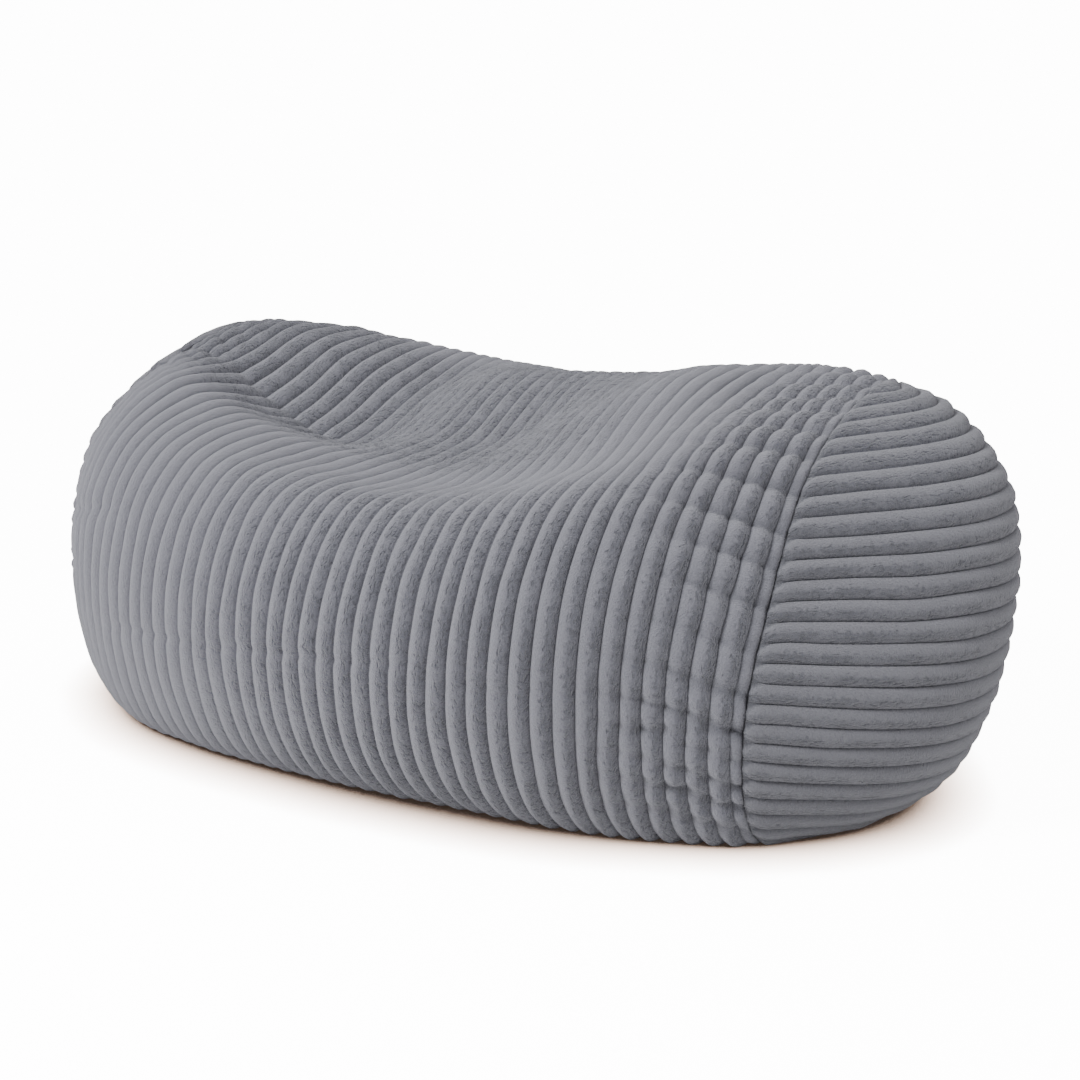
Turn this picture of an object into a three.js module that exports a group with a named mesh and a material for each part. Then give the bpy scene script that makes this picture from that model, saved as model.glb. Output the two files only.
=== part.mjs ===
// A long floor pouf of thick ribbed plush: a filled body about 1.4 m long, with a seat pressed
// into its top and a bowed oval panel sewn into each end.
// Millimetres. X runs along the pouf, -Y is its front, +Z is up, and the floor is z = 0.
import * as THREE from "three";

// Driving dimensions
const ribPitch = 27;
const ribHeight = 8;
const bodyRibs = 43;
const leftSeam = -590;
const rightSeam = 525;
const seamGap = 0.3;

// The end panels. bow and footBow: how far each stands out at its fullest height, bowHeight, and
// on the floor. topFullness: how squarely it dies out at its top. rise and spread: how roundly it
// bows up its middle and from seam to seam, where 0.5 is part of an ellipse and 1 a parabola.
// lean: how much fuller its front half is than its back half.
const panels = [
  {
    name: "end_panel_right", side: 1, seamX: rightSeam,
    bow: 208, footBow: 57, bowHeight: 260, topFullness: 3.2, rise: 0.5, spread: 1.2, lean: 0.49,
  },
  {
    name: "end_panel_left", side: -1, seamX: leftSeam,
    bow: 125, footBow: 20, bowHeight: 204, topFullness: 2.6, rise: 0.9, spread: 0.9, lean: 0,
  },
];

// A panel's ribs are nearly level: below levelShare of its height their ends are drawn up towards
// the seam, and above it they are drawn down
const ribDroop = 218;
const levelShare = 0.55;

// Where the body's ribs are sampled, as shares of one pitch that starts in a groove
const ribSteps = [0, 0.27, 0.73];
const ribRoundness = 0.6;
const ribEndFade = 0.5;

// The height of the narrow rib along each seam, as a share of a whole rib's
const seamRibShare = 0.5;

// Steps round one cross-section and across one end panel
const lowerSteps = 6;
const upperSteps = 4;
const panelSteps = 14;

// Shares of the belly's half width at which a section's upper heights are given
const browShare = 0.78;
const slopeShare = 0.45;

// How steeply a section leaves its belly upwards, for each millimetre along its chord
const bellyRise = 1.25;

// One row for each cross-section of the body, from the left seam to the right one.
// x: its place. foot: half width on the floor. belly and backBelly: half widths at the widest
// height, bellyZ. The other columns are heights of the upper side, from the front brow over the
// seat to the back brow.
const sectionColumns = [
  "x", "foot", "belly", "bellyZ", "browZ", "frontZ", "middleZ", "backZ", "backBrowZ", "backBelly",
];
const sectionRows = [
  [leftSeam, 190, 285, 185, 390, 455, 502, 515, 440, 322],
  [-515, 255, 352, 185, 410, 470, 475, 510, 476, 390],
  [-420, 315, 400, 180, 402, 445, 412, 475, 468, 435],
  [-285, 340, 433, 185, 390, 415, 365, 425, 451, 465],
  [-140, 340, 447, 195, 383, 390, 395, 460, 437, 455],
  [0, 330, 450, 190, 375, 382, 400, 472, 418, 430],
  [140, 310, 440, 185, 385, 404, 470, 486, 422, 405],
  [285, 295, 412, 178, 405, 450, 520, 505, 438, 384],
  [420, 270, 350, 156, 392, 478, 510, 525, 448, 358],
  [rightSeam, 218, 300, 135, 315, 450, 512, 517, 448, 325],
];

// Slope at each knot of a smooth curve: the mean of the slopes on both sides, in which the
// shorter side counts for more. The end slopes are given, or else bend on evenly.
function knotSlopes(at, value, firstSlope, lastSlope) {
  const last = at.length - 1;
  const span = (i) => at[i + 1] - at[i];
  const rise = (i) => (value[i + 1] - value[i]) / span(i);
  const inner = (i) => (rise(i - 1) * span(i) + rise(i) * span(i - 1)) / (span(i - 1) + span(i));
  return at.map((_, i) => {
    if (i === 0) return firstSlope ?? 1.5 * rise(0) - 0.5 * inner(1);
    if (i === last) return lastSlope ?? 1.5 * rise(last - 1) - 0.5 * inner(last - 1);
    return inner(i);
  });
}

// Value at x of the cubic curve through the knots with the given slopes
function smoothValue(at, value, slope, x) {
  let i = 0;
  while (i < at.length - 2 && x > at[i + 1]) i += 1;
  const span = at[i + 1] - at[i];
  const t = (x - at[i]) / span;
  const bend = t * t * (3 - 2 * t);
  const out = t * (1 - t) * (1 - t) * span * slope[i];
  const into = t * t * (1 - t) * span * slope[i + 1];
  return value[i] * (1 - bend) + value[i + 1] * bend + out - into;
}

// The section sizes at any place along the body, by smooth curves through the table's rows
const sectionPlaces = sectionRows.map((row) => row[0]);
const columnCurves = sectionColumns.slice(1).map((name, column) => {
  const value = sectionRows.map((row) => row[column + 1]);
  return { name, value, slope: knotSlopes(sectionPlaces, value) };
});
function sectionAt(x) {
  const size = {};
  for (const curve of columnCurves) size[curve.name] = smoothValue(sectionPlaces, curve.value, curve.slope, x);
  return size;
}

// A quarter ellipse from the foot on the floor up to the belly, as half width and height
function lowerQuarter(foot, belly, bellyZ, steps) {
  const points = [];
  for (let i = 0; i < steps; i += 1) {
    const angle = (i / steps) * (Math.PI / 2);
    points.push([foot + (belly - foot) * Math.sin(angle), bellyZ * (1 - Math.cos(angle))]);
  }
  return points;
}

// One open section from the front foot over the top to the back foot, as [y, z] points
function sectionOutline(x, lower, upper) {
  const size = sectionAt(x);
  const knots = [
    [-size.belly, size.bellyZ],
    [-size.belly * browShare, size.browZ],
    [-size.belly * slopeShare, size.frontZ],
    [0, size.middleZ],
    [size.backBelly * slopeShare, size.backZ],
    [size.backBelly * browShare, size.backBrowZ],
    [size.backBelly, size.bellyZ],
  ];
  const chord = [0];
  for (let i = 1; i < knots.length; i += 1) {
    chord.push(chord[i - 1] + Math.hypot(knots[i][0] - knots[i - 1][0], knots[i][1] - knots[i - 1][1]));
  }
  const y = knots.map((knot) => knot[0]);
  const z = knots.map((knot) => knot[1]);
  const ySlope = knotSlopes(chord, y, 0, 0);
  const zSlope = knotSlopes(chord, z, bellyRise, -bellyRise);
  const backFoot = (size.foot * size.backBelly) / size.belly;
  const points = lowerQuarter(size.foot, size.belly, size.bellyZ, lower).map(([half, height]) => [-half, height]);
  for (let i = 0; i < knots.length - 1; i += 1) {
    for (let step = 0; step < upper; step += 1) {
      const along = chord[i] + ((chord[i + 1] - chord[i]) * step) / upper;
      points.push([smoothValue(chord, y, ySlope, along), smoothValue(chord, z, zSlope, along)]);
    }
  }
  points.push([size.backBelly, size.bellyZ]);
  points.push(...lowerQuarter(backFoot, size.backBelly, size.bellyZ, lower).reverse());
  return points;
}

// Height of a rib above its grooves at a share of one pitch
function ribRise(share) {
  return ribHeight * Math.sin(Math.PI * share) ** ribRoundness;
}

// A closed body lofted through rings of equally many points, closed by a fan at each end.
// The rings run so that the body lies on the right of their points when seen from the first end.
function loftedBody(rings) {
  const size = rings[0].length;
  const positions = rings.flat(2);
  const faces = [];
  for (let row = 0; row < rings.length - 1; row += 1) {
    for (let i = 0; i < size; i += 1) {
      const next = (i + 1) % size;
      const a = row * size + i;
      const b = row * size + next;
      const c = a + size;
      const d = b + size;
      faces.push(a, c, b, b, c, d);
    }
  }
  const capEnd = (ring, firstIndex, flip) => {
    const middle = [0, 1, 2].map((axis) => ring.reduce((sum, point) => sum + point[axis], 0) / size);
    const centre = positions.length / 3;
    positions.push(...middle);
    for (let i = 0; i < size; i += 1) {
      const a = firstIndex + i;
      const b = firstIndex + ((i + 1) % size);
      if (flip) faces.push(centre, b, a);
      else faces.push(centre, a, b);
    }
  };
  capEnd(rings[0], 0, false);
  capEnd(rings[rings.length - 1], (rings.length - 1) * size, true);
  const geometry = new THREE.BufferGeometry();
  geometry.setAttribute("position", new THREE.Float32BufferAttribute(positions, 3));
  geometry.setIndex(faces);
  geometry.computeVertexNormals();
  return geometry;
}

// One ring of the body: the section pushed out by the rib's rise, flattened where it meets the floor
function bodyRing(x, rise) {
  const outline = sectionOutline(x, lowerSteps, upperSteps);
  const last = outline.length - 1;
  return outline.map(([y, z], i) => {
    const before = i === 0 ? [y + 1, 0] : outline[i - 1];
    const after = i === last ? [y - 1, 0] : outline[i + 1];
    const length = Math.hypot(after[0] - before[0], after[1] - before[1]);
    const outY = -(after[1] - before[1]) / length;
    const outZ = (after[0] - before[0]) / length;
    return [x, y + outY * rise, Math.max(0, z + outZ * rise)];
  });
}

// Turns a length of cloth along the front's widest line, from the left seam, into a place on X
const bellyLine = [{ x: leftSeam, length: 0 }];
for (let x = leftSeam + 1; x <= rightSeam; x += 1) {
  const here = sectionAt(x);
  const before = sectionAt(x - 1);
  const step = Math.hypot(1, here.belly - before.belly, here.bellyZ - before.bellyZ);
  bellyLine.push({ x, length: bellyLine[bellyLine.length - 1].length + step });
}
function placeAtLength(length) {
  let i = 0;
  while (i < bellyLine.length - 2 && length > bellyLine[i + 1].length) i += 1;
  const share = (length - bellyLine[i].length) / (bellyLine[i + 1].length - bellyLine[i].length);
  return bellyLine[i].x + share;
}

// The body's ribs are equal widths of cloth. What is left over makes a narrow rib at each seam.
function bodyGeometry() {
  const cloth = bellyLine[bellyLine.length - 1].length;
  const strip = (cloth - bodyRibs * ribPitch) / 2;
  const stripRise = ribRise(0.5) * seamRibShare;
  const rings = [bodyRing(leftSeam, 0), bodyRing(placeAtLength(strip / 2), stripRise)];
  for (let rib = 0; rib < bodyRibs; rib += 1) {
    for (const step of ribSteps) {
      rings.push(bodyRing(placeAtLength(strip + (rib + step) * ribPitch), ribRise(step)));
    }
  }
  rings.push(bodyRing(placeAtLength(cloth - strip), 0));
  rings.push(bodyRing(placeAtLength(cloth - strip / 2), stripRise));
  rings.push(bodyRing(rightSeam, 0));
  return loftedBody(rings);
}

// How far an end panel bows out at a height: it swells from its foot to its fullest height and
// dies out more squarely at its top
function bowAt(panel, z, top) {
  if (z < panel.bowHeight) {
    const below = (panel.bowHeight - z) / panel.bowHeight;
    return panel.footBow + (panel.bow - panel.footBow) * (1 - below ** 2) ** panel.rise;
  }
  const above = (z - panel.bowHeight) / (top - panel.bowHeight);
  return panel.bow * Math.max(0, 1 - above ** panel.topFullness) ** panel.rise;
}

// How much higher a rib of an end panel lies at the seam than in the panel's middle
function endRise(level, top) {
  const share = level / top;
  return ribDroop * (levelShare - share) * Math.sqrt(Math.max(0, share * (1 - share)));
}

// The seam's half outlines, used to read off where the seam lies at a height
function seamSides(seamX) {
  const outline = sectionOutline(seamX, 24, 24);
  const topIndex = outline.reduce((best, point, i) => (point[1] > outline[best][1] ? i : best), 0);
  const yAt = (points, z) => {
    let i = 0;
    while (i < points.length - 2 && z > points[i + 1][1]) i += 1;
    const share = (z - points[i][1]) / (points[i + 1][1] - points[i][1]);
    return points[i][0] + (points[i + 1][0] - points[i][0]) * share;
  };
  const front = outline.slice(0, topIndex + 1);
  const back = outline.slice(topIndex).reverse();
  return { top: outline[topIndex][1], frontY: (z) => yAt(front, z), backY: (z) => yAt(back, z) };
}

// Levels of the panel's rows: equal steps of length up the middle of the bowed face, so that
// every rib there has the pitch of the cloth
function panelRows(panel, top) {
  const fine = 800;
  const heights = [0];
  const lengths = [0];
  for (let i = 1; i <= fine; i += 1) {
    const z = top * Math.sin((i / fine) * (Math.PI / 2));
    const stepOut = bowAt(panel, z, top) - bowAt(panel, heights[i - 1], top);
    lengths.push(lengths[i - 1] + Math.hypot(z - heights[i - 1], stepOut));
    heights.push(z);
  }
  const ribs = Math.floor(lengths[fine] / ribPitch);
  const pitch = lengths[fine] / ribs;
  const rows = [];
  for (let rib = 0; rib < ribs; rib += 1) {
    for (const step of ribSteps) {
      const length = (rib + step) * pitch;
      const i = lengths.findIndex((value) => value >= length);
      rows.push({ level: heights[i], rise: ribRise(step) });
    }
  }
  return rows;
}

// A point of a panel before its ribs, on the row that crosses the panel's middle at a level. The
// row runs from the front seam, at a turn of minus a quarter, to the back seam.
function panelPoint(panel, seam, turn, level) {
  const across = Math.sin(turn);
  const z = level + endRise(level, seam.top) * across ** 2;
  const frontY = seam.frontY(z);
  const backY = seam.backY(z);
  const plan = Math.max(0, Math.cos(turn)) ** (2 * panel.spread) * (1 - panel.lean * across);
  const y = (frontY + backY) / 2 + ((backY - frontY) / 2) * across;
  return new THREE.Vector3(seamGap + bowAt(panel, z, seam.top) * plan, y, z);
}

// One row of an end panel, pushed out by the rib's rise, which dies out at the seam
function panelRing(panel, seam, row) {
  const points = [];
  const low = Math.max(0, row.level - 1);
  const high = Math.min(seam.top * 0.9999, row.level + 1);
  for (let i = 0; i <= panelSteps; i += 1) {
    const turn = (i / panelSteps - 0.5) * Math.PI;
    const point = panelPoint(panel, seam, turn, row.level);
    const before = panelPoint(panel, seam, turn - 0.01, row.level);
    const along = panelPoint(panel, seam, turn + 0.01, row.level).sub(before);
    const upward = panelPoint(panel, seam, turn, high).sub(panelPoint(panel, seam, turn, low));
    const normal = along.cross(upward).normalize();
    const rise = row.rise * Math.max(0, Math.cos(turn)) ** ribEndFade;
    const atSeam = i === 0 || i === panelSteps;
    if (!atSeam) point.addScaledVector(normal, rise);
    points.push([panel.seamX + panel.side * point.x, point.y, Math.max(0, point.z)]);
  }
  return panel.side > 0 ? points.reverse() : points;
}

function panelGeometry(panel) {
  const seam = seamSides(panel.seamX);
  return loftedBody(panelRows(panel, seam.top).map((row) => panelRing(panel, seam, row)));
}

// Slate grey plush, matt, a little lighter on the body than on the shaded end panels
function plush(colour) {
  return new THREE.MeshStandardMaterial({ color: colour, roughness: 0.95, metalness: 0 });
}

function sewnPiece(name, geometry, colour) {
  const piece = new THREE.Mesh(geometry, plush(colour));
  piece.name = name;
  return piece;
}

const pouf = new THREE.Group();
pouf.add(sewnPiece("barrel", bodyGeometry(), 0x85858b));
for (const panel of panels) pouf.add(sewnPiece(panel.name, panelGeometry(panel), 0x75757c));

// The origin is the middle of the footprint's box, on the floor
const box = new THREE.Box3().setFromObject(pouf);
pouf.position.set(-(box.min.x + box.max.x) / 2, -(box.min.y + box.max.y) / 2, 0);

export default pouf;
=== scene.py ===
# %% [markdown]
# # A long floor pouf in ribbed plush
#
# The real thing is a sewn bag of thick ribbed plush, filled with loose beads. One wide panel
# wraps round the body, so its ribs run up the front, over the seat and down the back. An oval
# panel closes each end, and its ribs run level. Somebody has sat in it: the top has a hollow.
#
# A bag like this could be simulated as cloth under pressure, but its shape is the record of how
# the beads have settled, which a simulation can't know. So the settled shape is given by a few
# cross-sections, and the ribs, puckers and creases are worked out on it as relief.

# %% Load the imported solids
import math

import bpy
import numpy as np
from mathutils import Matrix, Vector


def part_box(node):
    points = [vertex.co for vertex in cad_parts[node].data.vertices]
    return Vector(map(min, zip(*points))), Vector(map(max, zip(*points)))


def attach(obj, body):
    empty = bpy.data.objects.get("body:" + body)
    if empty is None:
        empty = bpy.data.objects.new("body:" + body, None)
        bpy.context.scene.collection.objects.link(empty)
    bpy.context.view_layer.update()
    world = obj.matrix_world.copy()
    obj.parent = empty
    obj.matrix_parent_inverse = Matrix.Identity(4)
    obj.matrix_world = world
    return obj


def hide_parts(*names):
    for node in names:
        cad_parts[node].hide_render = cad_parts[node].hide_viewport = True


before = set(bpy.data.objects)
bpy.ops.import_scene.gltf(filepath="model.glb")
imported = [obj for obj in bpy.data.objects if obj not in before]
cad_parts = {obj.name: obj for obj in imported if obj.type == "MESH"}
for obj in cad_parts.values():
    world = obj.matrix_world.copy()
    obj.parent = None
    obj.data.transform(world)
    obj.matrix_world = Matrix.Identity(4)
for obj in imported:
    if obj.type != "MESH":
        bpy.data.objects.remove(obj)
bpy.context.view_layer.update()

# %% [markdown]
# ## The sizes
#
# The pouf is measured like a boat hull: ten cross-sections stand along its length. Each one
# gives the half width on the floor and at the belly, and the height of the upper side from the
# front brow over the seat to the back brow. A boat builder would draw smooth battens through
# them, and the code does the same.

# %% Sizes of the plush and the ten cross-sections
MILLIMETRE = 0.001
RIB_PITCH = 27 * MILLIMETRE
RIB_HEIGHT = 9 * MILLIMETRE
SOLID_RIB_HEIGHT = 8 * MILLIMETRE
BODY_RIBS = 43
LEFT_SEAM = -590 * MILLIMETRE
RIGHT_SEAM = 525 * MILLIMETRE
SEAM_GAP = 0.3 * MILLIMETRE

SECTION_COLUMNS = (
    "x", "foot", "belly", "belly_z", "brow_z", "front_z", "middle_z", "back_z", "back_brow_z",
    "back_belly",
)
SECTION_ROWS = MILLIMETRE * np.array(
    [
        [-590, 190, 285, 185, 390, 455, 502, 515, 440, 322],
        [-515, 255, 352, 185, 410, 470, 475, 510, 476, 390],
        [-420, 315, 400, 180, 402, 445, 412, 475, 468, 435],
        [-285, 340, 433, 185, 390, 415, 365, 425, 451, 465],
        [-140, 340, 447, 195, 383, 390, 395, 460, 437, 455],
        [0, 330, 450, 190, 375, 382, 400, 472, 418, 430],
        [140, 310, 440, 185, 385, 404, 470, 486, 422, 405],
        [285, 295, 412, 178, 405, 450, 520, 505, 438, 384],
        [420, 270, 350, 156, 392, 478, 510, 525, 448, 358],
        [525, 218, 300, 135, 315, 450, 512, 517, 448, 325],
    ]
)
# The brow and the slope stand at these shares of the belly's half width
BROW_SHARE = 0.78
SLOPE_SHARE = 0.45
# How much the side rises for each length of chord where it leaves the belly
BELLY_RISE = 1.25
print(len(SECTION_ROWS), "sections over", RIGHT_SEAM - LEFT_SEAM, "m")

# %% Smooth battens through given heights


def ease(value):
    """0 below 0, 1 above 1, and a smooth step in between: three squares less two cubes."""
    t = np.clip(value, 0, 1)
    return t * t * (3 - 2 * t)


def run_length(steps):
    """Length from a line's start to each of its points: the running sum of its steps."""
    return np.concatenate([0 * steps[:1], np.cumsum(steps, axis=0)])


def batten_slopes(at, height, first=None, last=None):
    """Slope at each knot: the mean of the slopes before and after it, in which the shorter
    side counts for more. The end slopes are given, or else bend on evenly."""
    span = np.diff(at, axis=0)
    rise = np.diff(height, axis=0) / span
    inner = (rise[:-1] * span[1:] + rise[1:] * span[:-1]) / (span[1:] + span[:-1])
    start = 1.5 * rise[0] - 0.5 * inner[0] if first is None else np.full_like(rise[0], first)
    end = 1.5 * rise[-1] - 0.5 * inner[-1] if last is None else np.full_like(rise[0], last)
    return np.concatenate([[start], inner, [end]])


def batten(height, slope, span, knot, t):
    """Height a share t of the way from a knot to the next one: the cubic curve that has the
    knots' heights and slopes at its two ends."""
    blend = ease(t)
    leave = t * (1 - t) ** 2 * span[knot] * slope[knot]
    arrive = t * t * (1 - t) * span[knot] * slope[knot + 1]
    return height[knot] * (1 - blend) + height[knot + 1] * blend + leave - arrive


def section_sizes(x):
    """The table's sizes at any places x along the body, each on its own smooth batten."""
    at = SECTION_ROWS[:, 0]
    span = np.diff(at)
    knot = np.clip(np.searchsorted(at, x, side="right") - 1, 0, len(span) - 1)
    t = (x - at[knot]) / span[knot]
    return {
        name: batten(column, batten_slopes(at, column), span, knot, t)
        for name, column in zip(SECTION_COLUMNS[1:], SECTION_ROWS.T[1:])
    }


middle_x = np.linspace(-0.1, 0.1, 21)
print("widest belly", round(float(section_sizes(middle_x)["belly"].max()), 4), "m")

# %% [markdown]
# ## One cross-section
#
# A soft bag on a floor has a flat foot, then bulges out to its belly, and closes over the top.
# The foot and belly are joined by a quarter ellipse, which leaves the floor level, as a bag
# does. The top is one more batten, bent over seven knots.

# %% The outline of a cross-section
UPPER_SPANS = 6
BACK_BELLY_TURN = UPPER_SPANS + 1
BACK_FOOT_TURN = UPPER_SPANS + 2


def body_section(x, turn):
    """Points [y, z] of the sections at x. turn runs from 0 at the front foot to 1 at the front
    belly, through the six upper spans to 7 at the back belly, and to 8 at the back foot. Below
    the bellies it is a quarter ellipse, and above them a batten over the chord length."""
    size = section_sizes(x)
    belly, back = size["belly"], size["back_belly"]
    knots = np.array(
        [
            [-belly, size["belly_z"]],
            [-BROW_SHARE * belly, size["brow_z"]],
            [-SLOPE_SHARE * belly, size["front_z"]],
            [0 * belly, size["middle_z"]],
            [SLOPE_SHARE * back, size["back_z"]],
            [BROW_SHARE * back, size["back_brow_z"]],
            [back, size["belly_z"]],
        ]
    )
    span = np.hypot(*np.diff(knots, axis=0).transpose(1, 0, 2))
    chord = run_length(span)
    knot = np.clip(np.floor(turn - 1).astype(int), 0, UPPER_SPANS - 1)
    t = np.clip(turn - 1 - knot, 0, 1)[:, None]
    slope_y = batten_slopes(chord, knots[:, 0], 0, 0)
    slope_z = batten_slopes(chord, knots[:, 1], BELLY_RISE, -BELLY_RISE)
    y = batten(knots[:, 0], slope_y, span, knot, t)
    z = batten(knots[:, 1], slope_z, span, knot, t)
    quarter = np.clip(np.minimum(turn, BACK_FOOT_TURN - turn), 0, 1)[:, None] * (math.pi / 2)
    bulge = size["foot"] / belly + (1 - size["foot"] / belly) * np.sin(quarter)
    front_half = (turn < BACK_FOOT_TURN / 2)[:, None]
    below = ((turn < 1) | (turn > BACK_BELLY_TURN))[:, None]
    y = np.where(below, np.where(front_half, -belly, back) * bulge, y)
    z = np.where(below, size["belly_z"] * (1 - np.cos(quarter)), z)
    return y, z


LOWER_STEPS = 30
UPPER_STEPS = 34
TURNS = np.concatenate(
    [
        np.arange(LOWER_STEPS) / LOWER_STEPS,
        1 + np.arange(UPPER_SPANS * UPPER_STEPS) / UPPER_STEPS,
        BACK_BELLY_TURN + np.arange(LOWER_STEPS + 1) / LOWER_STEPS,
    ]
)
print(len(TURNS), "points round a section")

# %% [markdown]
# ## Where the ribs lie
#
# The plush is woven with its ribs one pitch apart, so the ribs are equal widths of cloth and not
# equal steps along X. Where the body turns in towards an end, they crowd together. The cloth is
# measured along the belly of the front, and the strip left over at each seam is a narrow rib.

# %% Cloth length along the belly
# Steps of half a millimetre
FINE_STEPS = 2230
fine_x = np.linspace(LEFT_SEAM, RIGHT_SEAM, FINE_STEPS + 1)
fine_size = section_sizes(fine_x)
belly_line = [fine_x, fine_size["belly"], fine_size["belly_z"]]
fine_cloth = run_length(np.linalg.norm(np.diff(belly_line), axis=0))
CLOTH = fine_cloth[-1]
STRIP = (CLOTH - BODY_RIBS * RIB_PITCH) / 2
# Where the grid has a column across a rib and across a strip: closer together at the grooves
RIB_SHARES = np.array([0, 0.04, 0.12, 0.28, 0.5, 0.72, 0.88, 0.96])
STRIP_SHARES = np.array([0, 0.1, 0.25, 0.45, 0.7, 0.9])
cloth_at = np.concatenate(
    [
        STRIP * STRIP_SHARES,
        (STRIP + (np.arange(BODY_RIBS)[:, None] + RIB_SHARES) * RIB_PITCH).ravel(),
        CLOTH - STRIP * (1 - STRIP_SHARES),
        [CLOTH],
    ]
)
station_x = np.interp(cloth_at, fine_cloth, fine_x)
print("cloth", round(CLOTH, 3), "m, strip", round(STRIP / MILLIMETRE, 1), "mm")
print(len(station_x), "stations")

# %% [markdown]
# ## Relief: ribs, puckers and creases
#
# Everything that the cloth does on top of the big shape is one height above it. A rib is a
# rounded bar between two sharp grooves. A seam gathers the cloth, so the ribs beside it are
# pinched into a row of pillows that dies out, over five or six ribs on the right and about three
# on the left. Where the bag has buckled, a soft crease runs across the ribs. Each is a small
# function of two lengths: the cloth's length along the body, and the girth from the front foot
# upwards.

# %% Ribs
RIB_FULLNESS = 0.62
TIP_FULLNESS = 0.55


def rib_bar(share):
    """Height of a rib, 0 in its grooves and 1 on its crest: a half sine wave made fuller."""
    return np.abs(np.sin(math.pi * share)) ** RIB_FULLNESS


def rib_with_tips(share, tip):
    """Height of a rib that ends like a finger: one less the squares of the share off its middle
    and of the share of the tip's length that is left, raised to a power below one."""
    return np.clip(1 - (2 * share - 1) ** 2 - (1 - tip) ** 2, 0, 1) ** TIP_FULLNESS


print("a quarter across, a rib has", round(float(rib_bar(0.25)), 2), "of its height")

# %% Soft irregularity
LATTICE = 96
STRAY = 1.6 * MILLIMETRE
STRAY_LENGTH = 55 * MILLIMETRE
STRAY_RIBS = 1.7


def soft_noise(a, b, step_a, step_b, seed):
    """Smooth random heights from -1 to 1: a lattice of random values, blended with an ease curve
    between its points, which lie step_a and step_b apart."""
    lattice = np.random.default_rng(seed).uniform(-1, 1, (LATTICE + 1, LATTICE + 1))
    row, col = np.floor(a / step_a), np.floor(b / step_b)
    s, t = ease(a / step_a - row), ease(b / step_b - col)
    row, col = row.astype(int) % LATTICE, col.astype(int) % LATTICE
    low = lattice[row, col] * (1 - s) + lattice[row + 1, col] * s
    high = lattice[row, col + 1] * (1 - s) + lattice[row + 1, col + 1] * s
    return low * (1 - t) + high * t


def layered_noise(a, b, layers):
    """The sum of several soft noises. Each layer is its size, its two steps and its seed."""
    return sum(size * soft_noise(a, b, *steps_and_seed) for size, *steps_and_seed in layers)


def wander(along, rib, seed):
    """How far a groove strays from its line, because the filling pulls the cloth unevenly:
    smooth random millimetres along the rib, which change from rib to rib."""
    return STRAY * soft_noise(along, rib, STRAY_LENGTH, STRAY_RIBS, seed)


print("grooves stray by up to", STRAY / MILLIMETRE, "mm")

# %% Puckers beside the two seams
# Each row is a pinch in the seam: its girth from the front foot, and its depth, in millimetres.
RIGHT_PINCHES = [
    (0, 0), (60, 4.5), (100, 6), (130, 5.5), (165, 4), (200, 7.5), (247, 5.5), (300, 4), (356, 5),
    (404, 5), (450, 6.5), (503, 6.5), (560, 6), (612, 5), (668, 4), (715, 4), (770, 4.5),
    (820, 4.5), (875, 4), (925, 2.5), (980, 2), (1040, 2), (1095, 2), (1150, 2), (1210, 2),
    (1270, 2), (1330, 2.5), (1400, 2), (1500, 0),
]
LEFT_PINCHES = [
    (0, 0), (70, 2), (130, 2), (190, 2.5), (250, 2.5), (310, 3), (350, 3.5), (400, 3), (455, 3),
    (510, 3.5), (565, 4), (618, 6), (662, 7), (706, 6.5), (742, 7), (790, 6), (840, 5),
    (900, 4.5), (955, 4), (1010, 3.5), (1070, 3.5), (1130, 3), (1190, 3), (1250, 2.5),
    (1320, 2.5), (1400, 2), (1500, 0),
]
PUCKER_LEAN = 0.28
PUCKER_REACH = 150 * MILLIMETRE
LEFT_PUCKER_REACH = 80 * MILLIMETRE
PUCKER_DEPTH = 2.4
LEFT_PUCKER_DEPTH = 0.9
# The stitches hold the cloth out by this share, over this distance from the seam
STITCH_HOLD = 0.6
STITCH_REACH = 8 * MILLIMETRE
# A pillow is a round form and a steep one, mixed
ROUND_SHARE = 0.6
ROUND_POWER = 0.85
STEEP_POWER = 0.35


def puckers(pinches, from_seam, girth, reach=PUCKER_REACH):
    """Depth of the pillows beside a seam: 0 on a pillow's top and the pinch's depth between two
    pillows. The pinches lean up the body with the distance from the seam, and die out. Right at
    the seam, the stitches hold the cloth out again."""
    place, depth = np.array(pinches).T * MILLIMETRE
    along = girth - PUCKER_LEAN * from_seam
    share = np.interp(along, place, np.arange(len(place))) % 1
    arch = np.sin(math.pi * share)
    pillow = ROUND_SHARE * arch**ROUND_POWER + (1 - ROUND_SHARE) * arch**STEEP_POWER
    fade = np.exp(-((from_seam / reach) ** 3))
    sewn = 1 - STITCH_HOLD * np.exp(-from_seam / STITCH_REACH)
    return np.interp(along, place, depth) * (1 - pillow) * fade * sewn


# The first row and the last one only close the curve
print(len(RIGHT_PINCHES) - 2, "pinches on the right,", len(LEFT_PINCHES) - 2, "on the left")

# %% Creases across the ribs
# Each row: where the crease starts and ends along X, its girth there, its depth and its half
# width, all in millimetres.
CREASES = [
    (-590, -515, 676, 762, 5, 12),
    (-520, -300, 759, 815, 7, 16),
    (-590, -400, 338, 372, 4.5, 9),
    (-420, -200, 205, 236, 3.5, 6),
    (-210, 160, 236, 290, 3.5, 6),
    (180, 330, 268, 262, 2.5, 6),
    (420, 525, 256, 246, 4, 7),
    (385, 525, 203, 200, 6.5, 6.5),
    (390, 525, 119, 130, 5, 6.5),
    (410, 525, 97, 103, 4, 6),
]
# The share of a crease's length over which it fades, when both ends are free and when one is sewn
FREE_FADE = 0.15
SEWN_FADE = 0.3


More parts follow.
